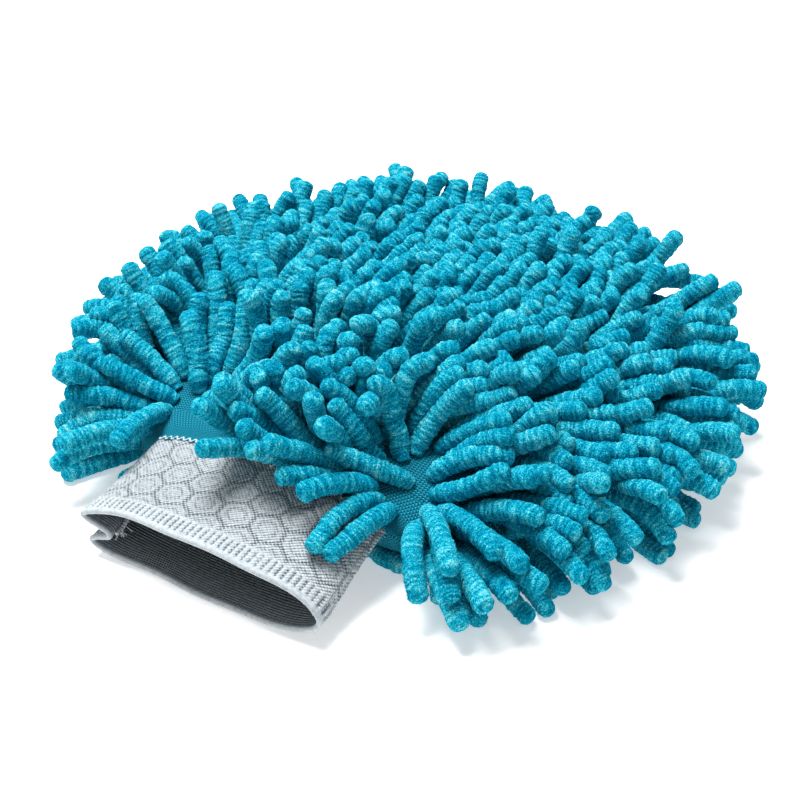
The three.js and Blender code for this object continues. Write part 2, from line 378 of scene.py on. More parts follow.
def row_roots(y, height, pitch, reach):
    """Points along a row at even steps of the panel's arc, in a zigzag."""
    x = np.linspace(-reach, reach, 200) * half_width(y)
    z = height(x, np.full_like(x, y))
    arc = np.concatenate([[0], np.cumsum(np.hypot(np.diff(x), np.diff(z)))])
    count = max(4, int(arc[-1] / pitch))
    at = (np.arange(count) + 0.5) / count * arc[-1]
    roots_x = np.interp(at, arc, x) + rng.uniform(-SEWN_ASTRAY, SEWN_ASTRAY, count)
    side = np.where(np.arange(count) % 2, 1, -1)
    roots_y = y + STAGGER * side + rng.uniform(-SEWN_ASTRAY, SEWN_ASTRAY, count)
    roots_y = np.clip(roots_y, 2.5, PANEL_END - 3)
    edge = half_width(roots_y) * reach
    roots_x = np.clip(roots_x, -edge, edge)
    return np.column_stack([roots_x, roots_y, height(roots_x, roots_y)])


def away_from(x, y, centre_x, centre_y):
    """Unit vectors in plan from a point, and the distances to it."""
    dx, dy = x - centre_x, y - centre_y
    distance = np.maximum(1e-6, np.hypot(dx, dy))
    return dx / distance, dy / distance, distance


def soft_noise(x, y, scale, seed):
    """A smooth random number from -1 to 1 for places in plan, made of a few waves."""
    waves = np.random.default_rng(seed)
    total = np.zeros_like(x)
    for _ in range(5):
        angle = waves.uniform(0, math.tau)
        length = scale * waves.uniform(0.7, 1.6)
        phase = waves.uniform(0, math.tau)
        total += np.sin(math.tau * (x * math.cos(angle) + y * math.sin(angle)) / length + phase)
    return total / 5


def brushed(x, y):
    """How the pile lies where it was last brushed: the lean of its fingers in x and y."""
    total = np.zeros((2, len(x)))
    weights = np.full(len(x), 1e-6)
    for place_x, place_y, lean_x, lean_y in BRUSHED:
        weight = np.exp(-((x - place_x) ** 2 + (y - place_y) ** 2) / (2 * BRUSH_REACH ** 2))
        total += weight * np.array([[lean_x], [lean_y]])
        weights += weight
    return total / weights


def outermost(x, y):
    """1 for the fingers that hang over the rim, 0 further in."""
    return smooth(np.maximum(out_share(x, y), y / PANEL_END), 0.89, 0.94)


def upper_directions(roots):
    """The pile lies as brushed over its middle, outwards at the rim, and away from the partings."""
    x, y, _ = roots.T
    share = out_share(x, y)
    out_x, out_y, _ = away_from(x, y, 0, PANEL_END * 0.5)
    end = smooth(y, PANEL_END * 0.75, PANEL_END)
    rim = np.maximum(share ** 6, end * end)
    right_or_front = np.maximum(0, out_x) ** 2 + np.maximum(0, -out_y) ** 2
    outward = mix(LEAN_BACK, LEAN_FRONT, np.clip(right_or_front, 0, 1))
    outward = outward + LEAN_LEFT * np.maximum(0, -out_x) ** 2
    back = np.maximum(0, out_y) ** 2
    over_rim = mix(LEAN_OVER_RIM, rng.uniform(*LEAN_OVER_BACK, len(x)), back)
    outward = mix(outward, over_rim, outermost(x, y))
    lean_x, lean_y = brushed(x, y)
    lean_x = lean_x * (1 - rim) + outward * rim * out_x
    lean_y = lean_y * (1 - rim) + outward * rim * out_y
    for spot_x, spot_y in PARTINGS:
        from_x, from_y, distance = away_from(x, y, spot_x, spot_y)
        pull = np.exp(-((distance / PARTING_REACH) ** 2))
        lean_x = mix(lean_x, LEAN_PARTED * from_x, pull)
        lean_y = mix(lean_y, LEAN_PARTED * from_y, pull)
    spread = APART + APART_AT_RIM * rim
    lean_x += TOGETHER * soft_noise(x, y, TOGETHER_SIZE, 3) + rng.normal(0, 1, len(x)) * spread
    lean_y += TOGETHER * soft_noise(x, y, TOGETHER_SIZE, 4) + rng.normal(0, 1, len(x)) * spread
    return unit(np.column_stack([lean_x, lean_y, np.ones(len(x))]))


def lower_directions(roots):
    """Under the mitt the fingers lie flat, mostly outwards."""
    x, y, _ = roots.T
    out_x, out_y, _ = away_from(x, y, 0, PANEL_END * 0.5)
    turn = rng.normal(0, 1, len(x)) * (1 - smooth(out_share(x, y), 0.5, 0.9))
    flat_x = out_x * np.cos(turn) - out_y * np.sin(turn)
    flat_y = out_x * np.sin(turn) + out_y * np.cos(turn)
    return unit(np.column_stack([flat_x, flat_y, rng.uniform(*LOWER_DIP, len(x))]))


# ---- chenille fingers: settling ----

def near_pairs(points, owner, reach):
    """Pairs of points of different fingers nearer than reach."""
    first, second = [], []
    block = 1024
    squares = (points ** 2).sum(1)
    for start in range(0, len(points), block):
        part = slice(start, start + block)
        gap = squares[part, None] + squares[None, :] - 2 * points[part] @ points.T
        a, b = np.nonzero(gap < reach * reach)
        a += start
        keep = (a < b) & (owner[a] != owner[b])
        first.append(a[keep])
        second.append(b[keep])
    return np.concatenate(first), np.concatenate(second)


def push_apart(points, radius, firmness, first, second):
    """Moves overlapping points of different fingers apart. The firmest points move least."""
    gap = points[first] - points[second]
    distance = np.maximum(1e-6, np.linalg.norm(gap, axis=1))
    overlap = np.maximum(0, SQUASH * (radius[first] + radius[second]) - distance)
    share = firmness[second] / (firmness[first] + firmness[second])
    push = gap / distance[:, None] * (PUSH * overlap)[:, None]
    moved = np.zeros_like(points)
    for axis in range(3):
        moved[:, axis] += np.bincount(first, push[:, axis] * share, len(points))
        moved[:, axis] -= np.bincount(second, push[:, axis] * (1 - share), len(points))
    longest = np.linalg.norm(moved, axis=1, keepdims=True)
    points += moved * np.minimum(1, LONGEST_PUSH / np.maximum(longest, 1e-6))


def keep_clear(points, radius, upper):
    """Keeps points out of the table, the pocket and the cuff."""
    x, y, z = points.T
    inside = (y > 0) & (y < PANEL_END) & (np.abs(x) < half_width(y) + 1)
    top = upper_height(x, y) + RESTS_AT * radius
    z = np.where(upper & inside, np.maximum(z, top), z)
    over_cuff = (y <= 1) & (y > -CUFF_LENGTH) & (np.abs(x) < CUFF_HALF)
    z = np.where(upper & over_cuff, np.maximum(z, cuff_height(x, y) + radius), z)
    y = np.where(~upper & (np.abs(x) < CUFF_HALF + 4), np.maximum(y, 2), y)
    under = lower_height(x, y) - RESTS_AT * radius
    z = np.where(~upper & inside, np.minimum(z, under), z)
    z = np.maximum(z, radius)
    points[:, 1:] = np.column_stack([y, z])


def limpness(roots, upper):
    """How far the fingers droop: most at the front corners and the right rim."""
    x, y, _ = roots.T
    corner = np.exp(-((np.abs(x) - 52) ** 2 + (y - 6) ** 2) / 20 ** 2)
    right = smooth(x / half_width(y), 0.6, 1.0) * (1 - smooth(y, 120, 180))
    hanging = mix(0.8, 0.35, smooth(y, 140, 180)) * outermost(x, y)
    loose = np.maximum(np.maximum(corner, right), hanging)
    return np.where(upper, 0.08 + 0.36 * loose, 0.15)


def pressed(points, upper):
    """Brushed flat: the pile keeps to its height, except at the rim and left of the middle."""
    x, y, z = points.T
    share = out_share(x, y)
    flat = (1 - smooth(share, 0.7, 0.9)) * (1 - smooth(y, 150, 175)) * smooth(y, 5, 20)
    stands = np.exp(-((x + 25) ** 2 + (y - 45) ** 2) / 24 ** 2)
    over = z - upper_height(x, y) - PILE_HEIGHT - STANDS_UP * stands
    points[:, 2] -= np.where(upper, 0.2 * flat * np.maximum(0, over), 0)


def settle(roots, directions, lengths, radii, upper):
    """The centre lines of all fingers, JOINTS points each, once they have found their places."""
    count = len(roots)
    step = (lengths / (JOINTS - 1))[:, None]
    line = roots[:, None] + directions[:, None] * (np.arange(JOINTS)[None, :, None] * step[:, None])
    owner = np.repeat(np.arange(count), JOINTS)
    radius = np.repeat(radii, JOINTS)
    is_upper = np.repeat(upper, JOINTS)
    firmness = np.tile(np.concatenate([[SEWN_FIRM, SEAM_FIRM], np.ones(JOINTS - 2)]), count)
    weight = np.linspace(0, 1, JOINTS) * limpness(roots, upper)[:, None]
    bend = rng.normal(0, CROOKED, (count, 3))
    for turn in range(SETTLE_STEPS):
        line[:, :, 2] -= weight
        line[:, 1] += HOLD_WAY * (roots + directions * step - line[:, 1])
        for k in range(2, JOINTS):
            ahead = unit(unit(line[:, k - 1] - line[:, k - 2]) + bend)
            line[:, k] += HOLD_STRAIGHT * (line[:, k - 1] + ahead * step - line[:, k])
        points = line.reshape(-1, 3)
        if turn % PAIRS_EVERY == 0:
            first, second = near_pairs(points, owner, PAIR_REACH * FINGER_RADIUS)
        push_apart(points, radius, firmness, first, second)
        pressed(points, is_upper)
        keep_clear(points, radius, is_upper)
        line = points.reshape(count, JOINTS, 3)
        line[:, 0] = roots
        for k in range(1, JOINTS):
            line[:, k] = line[:, k - 1] + unit(line[:, k] - line[:, k - 1]) * step
    return line


def resampled(line, count):
    """Smooth curves through the points of each centre line, with count points."""
    before = 2 * line[:, :1] - line[:, 1:2]
    after = 2 * line[:, -1:] - line[:, -2:-1]
    padded = np.concatenate([before, line, after], axis=1)
    at = np.linspace(0, line.shape[1] - 1, count)
    k = np.minimum(at.astype(int), line.shape[1] - 2)
    t = (at - k)[None, :, None]
    p0, p1, p2, p3 = (padded[:, k + i] for i in range(4))
    once = (p2 - p0) * t
    squared = (2 * p0 - 5 * p1 + 4 * p2 - p3) * t ** 2
    cubed = (3 * p1 - p0 - 3 * p2 + p3) * t ** 3
    return 0.5 * (2 * p1 + once + squared + cubed)


def blurred(values, times):
    """Noise smoothed along and round the fingers, brought back to unit strength."""
    for _ in range(times):
        along = np.concatenate([values[:, :1], values, values[:, -1:]], axis=1)
        values = (along[:, :-2] + 2 * values + along[:, 2:]) / 4
        values = (np.roll(values, 1, 2) + 2 * values + np.roll(values, -1, 2)) / 4
    return values / values.std()


def finger_mesh(line, lengths, radii, rings, sides):
    """One closed ridged tube for each centre line: vertices, faces, uv and attributes."""
    curve = resampled(line, rings)
    count = len(line)
    along = np.linspace(0, 1, rings)[None, :] * lengths[:, None]
    angle = np.linspace(0, math.tau, sides, endpoint=False)
    pitch = rng.uniform(*RIDGE_PITCH, (count, 1, 1))
    twist = rng.uniform(0, math.tau, (count, 1, 1))
    grain = rng.normal(0, 1, (count, rings, sides))
    lumps = blurred(rng.normal(0, 1, (count, rings, sides)), 3)
    wander = blurred(rng.normal(0, 1, (count, rings, sides)), 8)
    ridge = np.sin(math.tau * along[:, :, None] / pitch + twist + RIDGE_WANDER * wander)
    to_tip = lengths[:, None] - along
    cap = np.clip(1 - to_tip / (0.95 * radii[:, None]), 0, 1)
    blunt = np.sqrt(np.maximum(0, 1 - cap ** 2.4))
    root = mix(0.72, 1.0, smooth(along, 0, 5))
    swell = 1 + 0.02 * np.sin(math.tau * along / 13 + twist[:, :, 0])
    size = np.maximum(0.02, radii[:, None] * blunt * root * swell)
    radial = size[:, :, None] * (1 + RIDGE_HEIGHT * ridge + LUMP_HEIGHT * lumps + GRAIN_HEIGHT * grain)
    vertices = tube_points(curve, radial).reshape(-1, 3)
    vertices[:, 2] = np.maximum(vertices[:, 2], TABLE_GAP)
    one = tube_faces(rings, sides)
    faces = [tuple(v + i * rings * sides for v in face) for i in range(count) for face in one]
    around = np.broadcast_arrays(angle / math.tau, along[:, :, None] / 10)
    uv = np.stack(around, axis=-1).reshape(-1, 2)
    attributes = {
        "tint": np.repeat(rng.uniform(0, 1, count), rings * sides),
        # The ridge value is painted shade: the colour is lighter on ridge and lump tops and darker in
        # the grooves between them, with some random grain.
        "ridge": (0.5 + 0.28 * ridge + 0.12 * lumps + 0.09 * grain).reshape(-1),
    }
    return vertices, faces, uv, attributes


# ---- sheets of cloth ----

def closed_shell(outer, inner):
    """Vertices and faces of a thin closed solid between two grids of points."""
    rows, columns = outer.shape[:2]
    size = rows * columns
    faces = grid_faces(rows, columns)
    faces += [face[::-1] for face in grid_faces(rows, columns, start=size)]
    index = np.arange(size).reshape(rows, columns)
    loop = np.concatenate([index[0], index[1:, -1], index[-1, -2::-1], index[-2:0:-1, 0]]).tolist()
    faces += [(b, a, a + size, b + size) for a, b in zip(loop, loop[1:] + loop[:1])]
    return np.concatenate([outer.reshape(-1, 3), inner.reshape(-1, 3)]), faces


def arc_lengths(points, axis):
    """Distances along a grid's rows or columns, from the first point of each."""
    steps = np.linalg.norm(np.diff(points, axis=axis), axis=-1)
    start = np.zeros_like(np.take(steps, [0], axis=axis))
    return np.concatenate([start, np.cumsum(steps, axis=axis)], axis=axis)


def cloth_uv(points):
    """Millimetres across and along the cloth, measured from its middle line."""
    middle = [points.shape[1] // 2]
    across = arc_lengths(points, 1)
    across -= across[:, middle]
    along = np.broadcast_to(arc_lengths(points, 0)[:, middle], across.shape)
    return np.stack([across, along], axis=-1).reshape(-1, 2)


def panel_points(height, inward, drop):
    """A grid over one side of the pocket, sunk by drop towards its inside."""
    y = mix(WRIST_START - PANEL_LAP, PANEL_END - 0.4, np.linspace(0, 1, PANEL_ROWS) ** 0.9)
    share = np.sin(np.linspace(-math.pi / 2, math.pi / 2, PANEL_COLUMNS))
    x = share[None, :] * (half_width(y)[:, None] - KNIT * drop)
    grid_y = np.repeat(y[:, None], len(share), axis=1)
    z = height(x, grid_y) + inward * KNIT * drop
    return np.stack([x, grid_y, z], axis=-1)


def make_panel(name, height, inward):
    outer = panel_points(height, inward, 0)
    inner = panel_points(height, inward, 1)
    if inward > 0:
        outer, inner = outer[:, ::-1], inner[:, ::-1]
    vertices, faces = closed_shell(outer, inner)
    uv = cloth_uv(outer)
    return make_object(name, vertices, faces, ground_knit, np.concatenate([uv, uv]))


# ---- cuff ----

def pleat_share(y):
    """1 where the cuff's left seam is folded in, 0 beyond the pleat."""
    return 1 - smooth(y, -CUFF_LENGTH + PLEAT_FROM, PLEAT_TO)


def cuff_outline(y, count):
    """Points round the cuff at each y, from its right end over the top, normals, and the way round."""
    pleat = pleat_share(y)
    control = mix(np.array(THROAT_OUTLINE)[None], np.array(MOUTH_OUTLINE)[None], pleat[:, None, None])
    for _ in range(4):
        ahead = np.roll(control, -1, axis=1)
        cut = np.stack([0.75 * control + 0.25 * ahead, 0.25 * control + 0.75 * ahead], axis=2)
        control = cut.reshape(len(y), -1, 2)
    middle, half = cuff_middle(y)
    x = control[..., 0] * CUFF_HALF * ROUND_OUT
    z = middle[:, None] + control[..., 1] * half[:, None] * ROUND_UP
    points = np.stack([x, z], axis=-1)
    closed = np.concatenate([points, points[:, :1]], axis=1)
    arc = arc_lengths(closed, 1)
    placed = np.empty((len(y), count, 2))
    for i in range(len(y)):
        at = np.linspace(0, arc[i, -1], count, endpoint=False)
        for axis in range(2):
            placed[i, :, axis] = np.interp(at, arc[i], closed[i, :, axis])
    ahead = np.roll(placed, -1, axis=1) - np.roll(placed, 1, axis=1)
    for _ in range(2):
        ahead = (np.roll(ahead, 1, axis=1) + 2 * ahead + np.roll(ahead, -1, axis=1)) / 4
    normal = unit(np.stack([ahead[..., 1], -ahead[..., 0]], axis=-1))
    return placed, normal, arc[:, -1]


def hexagon_lines(u, v):
    """1 on the outlines of a honeycomb and of the smaller cells inside it, 0 elsewhere."""
    near = second = np.full(u.shape, 1e9)
    u = u + 0.9 * np.sin(v / 2.9) + 0.5 * np.sin(u / 21)
    v = v + 0.5 * np.sin(u / 8.3)
    row = np.round(v / CELL_HEIGHT)
    for step in (-1, 0, 1):
        j = row + step
        shift = np.where(j % 2 == 0, 0, CELL_WIDTH / 2)
        base = np.round((u - shift) / CELL_WIDTH)
        for side in (-1, 0, 1):
            centre = (base + side) * CELL_WIDTH + shift
            distance = np.hypot(u - centre, (v - j * CELL_HEIGHT) * 1.15)
            second = np.minimum(second, np.maximum(near, distance))
            near = np.minimum(near, distance)
    edge = second - near
    outline = 1 - smooth(edge, 0.8, 2.2)
    inner = 1 - smooth(np.abs(edge - 6), 0.6, 1.6)
    return np.maximum(outline, 0.5 * inner)


def cuff_relief(u, v):
    """Height of the woven pattern on the cuff's outside, and how dark its hollows are."""
    ribs = smooth(np.sin(math.tau * u / RIB_PITCH), -0.75, -0.1)
    in_ribs = smooth(v, 1.9, 2.7) * (1 - smooth(v, RIB_BAND - 0.6, RIB_BAND + 0.3))
    lines = hexagon_lines(u, v - RIB_BAND) * smooth(v, RIB_BAND + 0.5, RIB_BAND + 1.5)
    height = 0.5 * ribs * in_ribs - 0.3 * lines - 0.25 * in_ribs
    return height, np.maximum(lines, 1.7 * (1 - ribs) * in_ribs)


def make_cuff():
    """The cuff: a knitted tube with a rolled hem at its mouth and a pleat at its left seam."""
    outer_v = np.linspace(CUFF_LENGTH + CUFF_TUCK, HEM_WIDTH, 100)
    inner_v = outer_v[::-1]
    turn = np.linspace(-90, 90, 13)[1:-1] * math.pi / 180
    hem_v = 1.2 - 1.2 * np.cos(turn)
    hem_off = -HEM_INSET - HEM_ROLL * np.sin(turn)
    v = np.concatenate([outer_v, hem_v, inner_v])
    y = v - CUFF_LENGTH
    outline, normal, length = cuff_outline(y, CUFF_COLUMNS)
    column = np.arange(CUFF_COLUMNS)
    u = column / CUFF_COLUMNS * length.mean()
    grid_u, grid_v = np.meshgrid(u, v)
    relief, hollow = cuff_relief(grid_u, grid_v)
    outside = np.arange(len(v)) < len(outer_v)
    inside = np.arange(len(v)) >= len(outer_v) + len(hem_v)
    offset = np.where(outside[:, None], relief, 0)
    offset[~outside & ~inside] = hem_off[:, None]
    offset[inside] = -CUFF_BAND
    puckers = 0.14 * np.sin(math.tau * grid_u / 9.5 + 2 * np.sin(grid_u / 17)) * smooth(grid_v, 24, 36)
    offset += puckers * (1 - smooth(grid_v, CUFF_LENGTH - 5, CUFF_LENGTH - 2))
    section = outline + normal * offset[..., None]
    lift = 0.55 * np.sin(grid_u / 11 + 1) + 0.35 * np.sin(grid_u / 5.3)
    sway = lift * (1 - smooth(grid_v, 2, 12))
    vertices = np.stack([section[..., 0], y[:, None] + sway, section[..., 1]], axis=-1)
    vertices[..., 2] += max(0, 0.1 - vertices[..., 2].min())
    faces = ring_faces(len(v), CUFF_COLUMNS)
    # Painted shade inside the cuff: darkest deep in the throat, less near the mouth and on the lower
    # side.
    lower_side = column > CUFF_COLUMNS / 2
    painted_throat_shade = smooth(grid_v, 0, 13) * np.where(lower_side, 0.75, 1) + 0.25 * smooth(grid_v, 10, 30)
    coarse = 0.35 * smooth(grid_v, 2, 3) + 0.65 * smooth(grid_v, RIB_BAND, RIB_BAND + 1)
    attributes = {
        "hollow": np.where(outside[:, None], hollow, 0).ravel(),
        "inside": np.repeat(1.0 * inside, CUFF_COLUMNS),
        "painted_throat_shade": painted_throat_shade.ravel(),
        "coarse": coarse.ravel(),
    }
    uv = np.stack([grid_u, grid_v], axis=-1).reshape(-1, 2)
    return make_object("cuff_tube", vertices.reshape(-1, 3), faces[:, ::-1], cuff_knit, uv, attributes)


# ---- wrist band, stitches and seams ----

def loop_normals(points):
    """Unit normals of a grid of points whose columns go round a loop, pointing out of it."""
    along = np.gradient(points, axis=0)
    around = np.roll(points, -1, axis=1) - np.roll(points, 1, axis=1)
    return unit(np.cross(along, around))


def wrist_points(y, count):
    """Points round the knit where the pocket draws in to the cuff's width."""
    angle = np.arange(count) / count * math.tau
    grid_y = np.repeat(y[:, None], count, axis=1)
    inside_y = np.maximum(grid_y, 0)
    wide = half_width(inside_y) * np.cos(angle)
    pocket = np.where(np.sin(angle) >= 0, upper_height(wide, inside_y), lower_height(wide, inside_y))
    middle, half = cuff_middle(np.minimum(grid_y, 0))
    narrow_x = (CUFF_HALF * ROUND_OUT + 0.3) * np.cos(angle)
    narrow_z = middle + (half * ROUND_UP + 0.3) * np.sin(angle)
    share = smooth(grid_y, -1.5, 4.5)
    return np.stack([mix(narrow_x, wide, share), grid_y, mix(narrow_z, pocket, share)], axis=-1)


def make_wrist_band():
    """The knit between pocket and cuff, with an inside and an outside."""
    count = 360
    y = np.linspace(WRIST_END, WRIST_START, 28)
    outer = wrist_points(y, count)
    outer += loop_normals(outer) * 0.25
    inner = outer - loop_normals(outer) * 1.1
    rows = len(y)
    points = np.concatenate([outer, inner[::-1]])
    faces = ring_faces(2 * rows, count)
    around = np.repeat(arc_lengths(outer[rows // 2:rows // 2 + 1], 1), 2 * rows, axis=0)
    along = arc_lengths(outer, 0)
    uv = np.stack([around, np.concatenate([along, along[::-1]])], axis=-1).reshape(-1, 2)
    return make_object("knit_wrist_band", points.reshape(-1, 3), faces, ground_knit, uv)


def wraps(count, turns, depth):
    """How far thread wound round a roll thickens it, at points along it."""
    return 1 + depth * np.sin(np.linspace(0, math.tau * turns, count))


def seam_allowance(name):
    """The overlocked edge inside the cuff's pleat, with loose thread ends at the mouth."""
    y = np.linspace(-CUFF_LENGTH + 2.5, -9, 300)
    pleat = pleat_share(y)
    middle, half = cuff_middle(y)
    x = mix(-1, -0.765, pleat) * CUFF_HALF * ROUND_OUT + CUFF_BAND + 0.6
    z = middle - 0.104 * pleat * half
    curve = np.column_stack([x, y, z])
    parts = [tube_mesh(curve, 0.75 * wraps(len(y), 26, 0.22), 8)]
    for _ in range(FRAYED_ENDS):
        root = curve[rng.integers(2, 60)]
        way = unit(rng.uniform([0.5, -1.2, -0.7], [1.4, 0.3, 0.9]))
        curl = rng.uniform(-0.5, 0.5, 3)
        t = np.linspace(0, 1, 10)[:, None]
        strand = root + rng.uniform(1.8, 3.4) * (way * t + curl * t * t)
        parts.append(tube_mesh(strand, 0.16, 5, sum(len(v) for v, _ in parts)))
    vertices = np.concatenate([v for v, _ in parts])
    faces = [face for _, some in parts for face in some]
    return make_object(name, vertices, faces, thread)


def join_stitch(name, side):
    """The zigzag of thread that joins the pocket to the cuff, over the top or under it."""
    count = 900
    outline, normal, length = cuff_outline(np.array([STITCH_Y]), count)
    first = 0.03 if side > 0 else 0.53
    chosen = slice(int(first * count), int((first + STITCH_SHARE) * count))
    turned = math.tau * STITCH_SHARE * length[0] / STITCH_PITCH
    zigzag = np.sin(np.linspace(0, turned, chosen.stop - chosen.start))
    clear = (0.5 + 0.2 * np.abs(zigzag))[:, None]
    around = outline[0, chosen] + normal[0, chosen] * clear
    curve = np.column_stack([around[:, 0], STITCH_Y + 0.75 * zigzag, around[:, 1]])
    return tube(name, curve, 0.38, 6, thread)


def overlock(name, x, y, turns):
    """A stretch of the overlocked seam inside the rim: a roll wrapped in thread."""
    curve = np.column_stack([x, y, rim_height(y)])
    return tube(name, curve, 1.1 * wraps(len(y), turns, 0.14), 10, ground_knit)


def overlock_side(name, side):
    y = np.linspace(7, PANEL_END * 0.9, 600)
    return overlock(name, side * (half_width(y) - SEAM_INSET), y, 150)


def overlock_end(name):
    angle = np.linspace(-0.36, 0.36, 300) * math.pi
    y = 0.82 * PANEL_END + 0.1 * PANEL_END * np.cos(angle)
    return overlock(name, 44 * np.sin(angle) / math.sin(0.36 * math.pi), y, 80)


# ---- materials ----

def node(tree, kind, inputs=None, **settings):
    """A new node. An input is a value, or the socket that feeds it."""
    made = tree.nodes.new(kind)
    for key, value in settings.items():
        setattr(made, key, value)
    for key, value in (inputs or {}).items():
        if isinstance(value, bpy.types.NodeSocket):
            tree.links.new(value, made.inputs[key])
        else:
            made.inputs[key].default_value = value
    return made


def maths(tree, operation, a, b=0.0):
    return node(tree, "ShaderNodeMath", {0: a, 1: b}, operation=operation).outputs[0]


def attribute(tree, name):
    return node(tree, "ShaderNodeAttribute", attribute_name=name).outputs["Fac"]


def ramp(tree, value, stops):
    """A colour ramp over value, from (position, colour) stops."""
    made = node(tree, "ShaderNodeValToRGB", {"Fac": value})
    elements = made.color_ramp.elements
    while len(elements) < len(stops):
        elements.new(0.5)
    for element, (position, colour) in zip(elements, stops):
        element.position = position
        element.color = (*colour, 1)
    return made.outputs["Color"]


def mixed(tree, factor, a, b):
    return node(tree, "ShaderNodeMix", {0: factor, 6: a, 7: b}, data_type="RGBA").outputs[2]


def summed(tree, start, parts):
    """start, plus each value of parts times its weight."""
    total = start
    for value, weight in parts:
        total = maths(tree, "ADD", maths(tree, "MULTIPLY", value, weight), total)
    return total


def noise(tree, scale, detail, roughness=0.5):
    """Noise fixed to the object. scale is in cells to the metre."""
    place = node(tree, "ShaderNodeTexCoord").outputs["Object"]
    inputs = {"Vector": place, "Scale": scale, "Detail": detail, "Roughness": roughness}
    return node(tree, "ShaderNodeTexNoise", inputs).outputs["Fac"]


def new_material(name, inputs):
    """A material with these values on its shader. Gives its node tree and shader too."""
    material = bpy.data.materials.new(name)
    material.use_nodes = True
    shader = material.node_tree.nodes["Principled BSDF"]
    for key, value in inputs.items():
        shader.inputs[key].default_value = value
    return material, material.node_tree, shader


def fabric(name, roughness, sheen_tint, specular=0.1, sheen=0.2):
    return new_material(name, {
        "Roughness": roughness,
        "Specular IOR Level": specular,
        "Sheen Weight": sheen,
        "Sheen Roughness": 0.4,
        "Sheen Tint": (*sheen_tint, 1),
    })


def cover(tree, shader, colour, height, distance, strength=1.0):
    """Gives the shader its colour and its bump."""
    tree.links.new(colour, shader.inputs["Base Color"])
    made = node(tree, "ShaderNodeBump", {"Height": height, "Distance": distance, "Strength": strength})
    tree.links.new(made.outputs["Normal"], shader.inputs["Normal"])


def cloth_axes(tree):
    """Millimetres across and along the cloth."""
    uv = node(tree, "ShaderNodeUVMap", uv_map="cloth").outputs["UV"]
    apart = node(tree, "ShaderNodeSeparateXYZ", {0: uv})
    return apart.outputs["X"], apart.outputs["Y"]


def wave(tree, value, period):
    return maths(tree, "COSINE", maths(tree, "MULTIPLY", value, math.tau / period))


def make_chenille():
    """Soft piled yarn: bright fibre ends over darker hollows. The hollows' darkness is painted shade,
    and the whitish top of the ramp a painted highlight.
    """
    material, tree, shader = fabric("chenille", 0.95, (0.0, 0.62, 0.85), specular=0.02)
    fibres = noise(tree, 1900, 2, 0.7)
    clumps = noise(tree, 420, 2)
    ridge = attribute(tree, "ridge")
    tint = attribute(tree, "tint")
    # The ridge term paints shade into the grooves and light onto the ridge tops; the fibre and clump
    # noise and the tint are the yarn's own grain and tone.
    light = summed(tree, -0.28, [(fibres, 1.08), (clumps, 0.12), (ridge, 0.33), (tint, 0.08)])
    colour = ramp(tree, light, [
        (0.22, (0, 0.085, 0.18)),
        (0.48, (0, 0.34, 0.55)),
        (0.66, (0.035, 0.715, 0.865)),
        # Painted highlight: the whitish top stop paints highlights on the brightest fibres and ridge
        # tops.
        (0.83, (0.45, 0.92, 0.93)),
    ])
    height = summed(tree, 0.0, [(fibres, 1.0), (clumps, 0.5)])
    cover(tree, shader, colour, height, 0.0019)
    return material


def make_ground_knit():
    """The pocket's knit: rows of small V stitches."""
    material, tree, shader = fabric("ground_knit", 0.8, (0.05, 0.75, 0.95))
    across, along = cloth_axes(tree)
    zigzag = maths(tree, "MULTIPLY", maths(tree, "PINGPONG", across, 0.65), 0.8)
    legs = wave(tree, maths(tree, "ADD", along, zigzag), 1.15)
    gaps = wave(tree, across, 1.3)
    height = summed(tree, 0.0, [(legs, 1.0), (gaps, 0.5)])
    light = summed(tree, 0.5, [(height, 0.25)])
    colour = ramp(tree, light, [
        (0.15, (0, 0.055, 0.095)),
        (0.6, (0, 0.225, 0.345)),
        (0.95, (0.05, 0.53, 0.7)),
    ])
    cover(tree, shader, colour, height, 0.0006, 0.8)
    return material


def make_cuff_knit():
    """Pale jacquard outside with small dark holes along its outlines, slate ribs inside, darkened
    further in by painted shade.
    """
    material, tree, shader = fabric("cuff_knit", 0.85, (0.9, 0.95, 1.0), sheen=0.25)
    across, along = cloth_axes(tree)
    fuzz = noise(tree, 700, 2)
    coarse = attribute(tree, "coarse")
    uneven = summed(tree, across, [(fuzz, 0.7)])
    loops = maths(tree, "MULTIPLY", wave(tree, uneven, 1.7), wave(tree, along, 1.4))
    loops = maths(tree, "MULTIPLY", loops, coarse)
    between = summed(tree, 0.40, [(loops, -0.85)])
    holes = maths(tree, "MULTIPLY", attribute(tree, "hollow"), between)
    holes = maths(tree, "MAXIMUM", holes, 0.0)
    light = summed(tree, 0.17, [(loops, 0.13), (fuzz, 0.6), (coarse, 0.07), (holes, -0.52)])
    outside = ramp(tree, light, [
        (0.05, (0.12, 0.145, 0.165)),
        (0.45, (0.395, 0.44, 0.47)),
        (0.8, (0.56, 0.61, 0.64)),
    ])
    ribs = wave(tree, along, 0.95)
    inner_light = summed(tree, fuzz, [(ribs, 0.25)])
    # The inside: a lighter slate lip at the mouth and a near-black throat, mixed by the painted shade
    # that deepens away from the mouth.
    lip = ramp(tree, inner_light, [(0.2, (0.2, 0.24, 0.27)), (0.8, (0.38, 0.43, 0.46))])
    shaded_throat = ramp(tree, inner_light, [(0.2, (0.04, 0.052, 0.06)), (0.8, (0.125, 0.15, 0.165))])
    inside = mixed(tree, attribute(tree, "painted_throat_shade"), lip, shaded_throat)
    colour = mixed(tree, attribute(tree, "inside"), outside, inside)
    outer_height = maths(tree, "SUBTRACT", loops, holes)
    height = mixed(tree, attribute(tree, "inside"), outer_height, ribs)
    cover(tree, shader, colour, height, 0.0005, 0.8)
    return material


